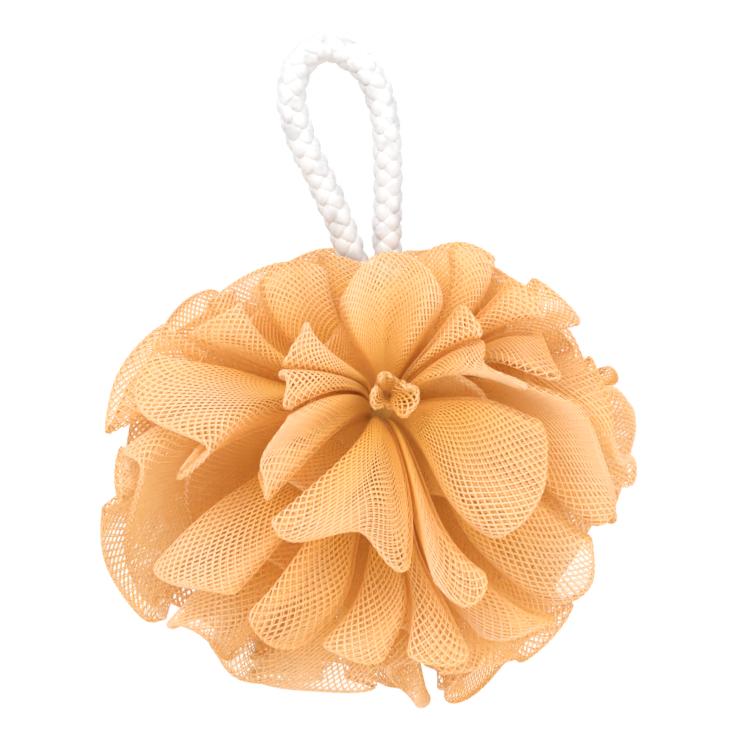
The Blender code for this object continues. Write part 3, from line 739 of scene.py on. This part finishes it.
def netting_material():
    """Thin orange plastic net: light passes through it, and painted shade deepens its folds."""
    material, tree, shader = new_material("orange_netting", NET_ROUGHNESS, specular=0.35)
    shader.inputs["Sheen Weight"].default_value = NET_SHEEN
    shader.inputs["Sheen Roughness"].default_value = 0.4
    place = node(tree, "ShaderNodeTexCoord", "place", -1300, 0)
    broad = node(tree, "ShaderNodeTexNoise", "painted shade patches", -1100, 200)
    broad.inputs["Scale"].default_value = 28.0
    broad.inputs["Detail"].default_value = 2.0
    depth = node(tree, "ShaderNodeVectorMath", "from the middle", -1100, 400,
                 operation="DISTANCE")
    depth.inputs[1].default_value = BALL_CENTRE
    patchy = node(tree, "ShaderNodeMath", "patchy depth", -900, 300, operation="MULTIPLY_ADD")
    patchy.inputs[1].default_value = PAINTED_SHADE_PATCHES
    spread = node(tree, "ShaderNodeUVMap", "across the net", -1300, 600, uv_map="OFBake")
    split = node(tree, "ShaderNodeSeparateXYZ", "root to edge", -1100, 600)
    aside = node(tree, "ShaderNodeMath", "from the edge", -900, 600, operation="SUBTRACT")
    aside.inputs[1].default_value = 0.5
    least = node(tree, "ShaderNodeMath", "either layer", -700, 600, operation="ABSOLUTE")
    # Painted shade: deeper orange further from the net's folded edge.
    inward = node(tree, "ShaderNodeMath", "depth in the fold", -500, 500,
                  operation="MULTIPLY_ADD")
    inward.inputs[1].default_value = PAINTED_SHADE_BY_FOLD
    # Painted shade: deep orange nearer the middle of the ball, in noisy patches.
    tone = node(tree, "ShaderNodeMapRange", "painted shade amount", -700, 200)
    tone.inputs["From Min"].default_value = PAINTED_SHADE_FULL_DISTANCE
    tone.inputs["From Max"].default_value = PAINTED_SHADE_END_DISTANCE
    # Painted shade: deep orange where folds shut each other in.
    shut = node(tree, "ShaderNodeAmbientOcclusion", "between folds", -700, 400, samples=2)
    shut.inputs["Distance"].default_value = SHUT_IN_DISTANCE
    paler = node(tree, "ShaderNodeMath", "pale where open", -550, 300, operation="MULTIPLY")
    colour = node(tree, "ShaderNodeMix", "net colour and painted shade", -450, 200, data_type="RGBA")
    colour.inputs["A"].default_value = NET_PAINTED_SHADE_COLOUR
    colour.inputs["B"].default_value = NET_EDGE_COLOUR
    fine = node(tree, "ShaderNodeTexNoise", "melt ripple", -900, -150)
    fine.inputs["Scale"].default_value = 1500.0
    fine.inputs["Detail"].default_value = 2.0
    raised = node(tree, "ShaderNodeBump", "ripple", -450, -150)
    raised.inputs["Strength"].default_value = 0.3
    raised.inputs["Distance"].default_value = 0.1 * MM
    through = node(tree, "ShaderNodeBsdfTranslucent", "light through", 0, -250)
    both = node(tree, "ShaderNodeMixShader", "plastic", 350, 0)
    both.inputs["Fac"].default_value = NET_LIGHT_THROUGH
    output = tree.nodes["Material Output"]
    output.location = (600, 0)
    through.inputs["Color"].default_value = NET_GLOW_COLOUR
    tree.links.new(place.outputs["Object"], broad.inputs["Vector"])
    tree.links.new(place.outputs["Object"], fine.inputs["Vector"])
    tree.links.new(place.outputs["Object"], depth.inputs[0])
    tree.links.new(broad.outputs["Fac"], patchy.inputs[0])
    tree.links.new(depth.outputs["Value"], patchy.inputs[2])
    tree.links.new(spread.outputs["UV"], split.inputs["Vector"])
    tree.links.new(split.outputs["Y"], aside.inputs[0])
    tree.links.new(aside.outputs[0], least.inputs[0])
    tree.links.new(least.outputs[0], inward.inputs[0])
    tree.links.new(patchy.outputs[0], inward.inputs[2])
    tree.links.new(inward.outputs[0], tone.inputs["Value"])
    tree.links.new(tone.outputs["Result"], paler.inputs[0])
    tree.links.new(shut.outputs["AO"], paler.inputs[1])
    tree.links.new(paler.outputs[0], colour.inputs["Factor"])
    tree.links.new(colour.outputs["Result"], shader.inputs["Base Color"])
    tree.links.new(fine.outputs["Fac"], raised.inputs["Height"])
    tree.links.new(raised.outputs["Normal"], shader.inputs["Normal"])
    tree.links.new(shader.outputs["BSDF"], both.inputs[1])
    tree.links.new(through.outputs["BSDF"], both.inputs[2])
    tree.links.new(both.outputs["Shader"], output.inputs["Surface"])
    return material


def bunched_middle():
    """The pleated bundle that the tie holds, closed at the front and the back."""
    places = np.linspace(-CORE_END, CORE_END, CORE_PLACES)
    angles = 2.0 * np.pi * np.arange(CORE_SIDES) / CORE_SIDES
    lines = []
    for place in places:
        tuck = CORE_TUCK_DEPTH * smooth((place - 0.35) / 0.5) * np.sin(CORE_TUCKS * angles)
        pleat = 1.0 + CORE_PLEAT_DEPTH * np.sin(CORE_PLEATS * angles) + tuck
        reach = (0.05 + CORE_REACH * (1.0 - place**4)) * pleat
        lines.append(place_netting(np.full(CORE_SIDES, place), angles, reach))
    ends = [line.mean(axis=0, keepdims=True) for line in (lines[0], lines[-1])]
    positions = np.concatenate(lines + ends)
    faces = []
    for ring in range(CORE_PLACES - 1):
        for side in range(CORE_SIDES):
            near, after = ring * CORE_SIDES + side, ring * CORE_SIDES + (side + 1) % CORE_SIDES
            faces.append((near, near + CORE_SIDES, after + CORE_SIDES, after))
    last = (CORE_PLACES - 1) * CORE_SIDES
    for side in range(CORE_SIDES):
        after = (side + 1) % CORE_SIDES
        faces.append((CORE_PLACES * CORE_SIDES, side, after))
        faces.append((CORE_PLACES * CORE_SIDES + 1, last + after, last + side))
    return positions, faces


netting = netting_material()
middle_positions, middle_faces = bunched_middle()
bundle = add_piece("bunched_middle", middle_positions + BALL_CENTRE, middle_faces, netting)
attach(bundle, "root")
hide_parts("net_ruffles")

walls_found = half_walls()
for row in range(len(ROW_PLACES)):
    positions, faces, uvs = weave_net(row)
    net = add_piece("net_row_%d" % (row + 1), positions + BALL_CENTRE, faces, netting, uvs)
    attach(net, "root")
    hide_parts("net_ruffles")

# Floor and light
# A plain white floor well under the hanging sponge, and soft white light from all round.
FLOOR_DROP = 0.09
FLOOR_HALF = 6.0
FLOOR_COLOUR = (0.93, 0.93, 0.93, 1.0)
FLOOR_CLEAR = (0.30, 0.52)   # the floor turns to plain white between these distances
WHITE = (1.0, 1.0, 1.0, 1.0)
WORLD_LEVEL = 0.80
LAMP_LEVEL = 1.05

floor_mesh = bpy.data.meshes.new("floor")
floor_corners = [(-FLOOR_HALF, -FLOOR_HALF, 0.0), (FLOOR_HALF, -FLOOR_HALF, 0.0),
                 (FLOOR_HALF, FLOOR_HALF, 0.0), (-FLOOR_HALF, FLOOR_HALF, 0.0)]
floor_mesh.from_pydata(floor_corners, [], [(0, 1, 2, 3)])
floor = bpy.data.objects.new("floor", floor_mesh)
floor.location.z = float(BALL_CENTRE[2] - BALL_HALF[2] - FLOOR_DROP)
bpy.context.scene.collection.objects.link(floor)
floor_material, floor_tree, floor_shader = new_material("white_floor", roughness=0.9,
                                                        specular=0.1)
floor_shader.inputs["Base Color"].default_value = FLOOR_COLOUR
where = node(floor_tree, "ShaderNodeTexCoord", "place", -900, -300)
apart = node(floor_tree, "ShaderNodeVectorMath", "distance", -700, -300, operation="LENGTH")
fade = node(floor_tree, "ShaderNodeMapRange", "fade", -500, -300,
            interpolation_type="SMOOTHSTEP")
fade.inputs["From Min"].default_value, fade.inputs["From Max"].default_value = FLOOR_CLEAR
looks = node(floor_tree, "ShaderNodeLightPath", "what looks", -700, -600)
shows = node(floor_tree, "ShaderNodeMath", "seen far away", -250, -400, operation="MULTIPLY")
glow = node(floor_tree, "ShaderNodeEmission", "plain white", -100, -200)
glow.inputs["Color"].default_value = WHITE
floor_mix = node(floor_tree, "ShaderNodeMixShader", "floor", 250, 0)
floor_tree.links.new(where.outputs["Object"], apart.inputs[0])
floor_tree.links.new(apart.outputs["Value"], fade.inputs["Value"])
floor_tree.links.new(fade.outputs["Result"], shows.inputs[0])
floor_tree.links.new(looks.outputs["Is Camera Ray"], shows.inputs[1])
floor_tree.links.new(shows.outputs[0], floor_mix.inputs["Fac"])
floor_tree.links.new(floor_shader.outputs["BSDF"], floor_mix.inputs[1])
floor_tree.links.new(glow.outputs["Emission"], floor_mix.inputs[2])
floor_tree.links.new(floor_mix.outputs["Shader"],
                     floor_tree.nodes["Material Output"].inputs["Surface"])
floor_mesh.materials.append(floor_material)

world = bpy.data.worlds.new("studio")
bpy.context.scene.world = world
world.use_nodes = True
tree = world.node_tree
plain = tree.nodes["Background"]
plain.inputs["Color"].default_value = WHITE
plain.inputs["Strength"].default_value = WORLD_LEVEL
seen = node(tree, "ShaderNodeBackground", "white behind", 0, -200)
seen.inputs["Color"].default_value = WHITE
seen.inputs["Strength"].default_value = 1.0
path = node(tree, "ShaderNodeLightPath", "what looks", -400, 0)
most = node(tree, "ShaderNodeMath", "camera or mirror", -200, 0, operation="MAXIMUM")
pick = node(tree, "ShaderNodeMixShader", "white behind", 250, 0)
tree.links.new(path.outputs["Is Camera Ray"], most.inputs[0])
tree.links.new(path.outputs["Is Glossy Ray"], most.inputs[1])
tree.links.new(most.outputs[0], pick.inputs["Fac"])
tree.links.new(plain.outputs["Background"], pick.inputs[1])
tree.links.new(seen.outputs["Background"], pick.inputs[2])
tree.links.new(pick.outputs["Shader"], tree.nodes["World Output"].inputs["Surface"])


def soft_lamp(name, place, size, watts):
    """A square soft lamp that faces the middle of the ball."""
    lamp_data = bpy.data.lights.new(name, "AREA")
    lamp_data.size = size
    lamp_data.energy = watts * LAMP_LEVEL
    lamp = bpy.data.objects.new(name, lamp_data)
    lamp.location = Vector(BALL_CENTRE) + Vector(place)
    lamp.rotation_euler = Vector(place).to_track_quat("Z", "Y").to_euler()
    bpy.context.scene.collection.objects.link(lamp)


soft_lamp("key", (-0.45, -0.75, 0.75), 0.6, 7.0)
soft_lamp("fill", (0.8, -0.6, 0.25), 0.7, 3.0)
soft_lamp("back", (0.2, 0.9, 0.7), 0.6, 5.0)
bpy.context.scene.view_settings.view_transform = "Standard"
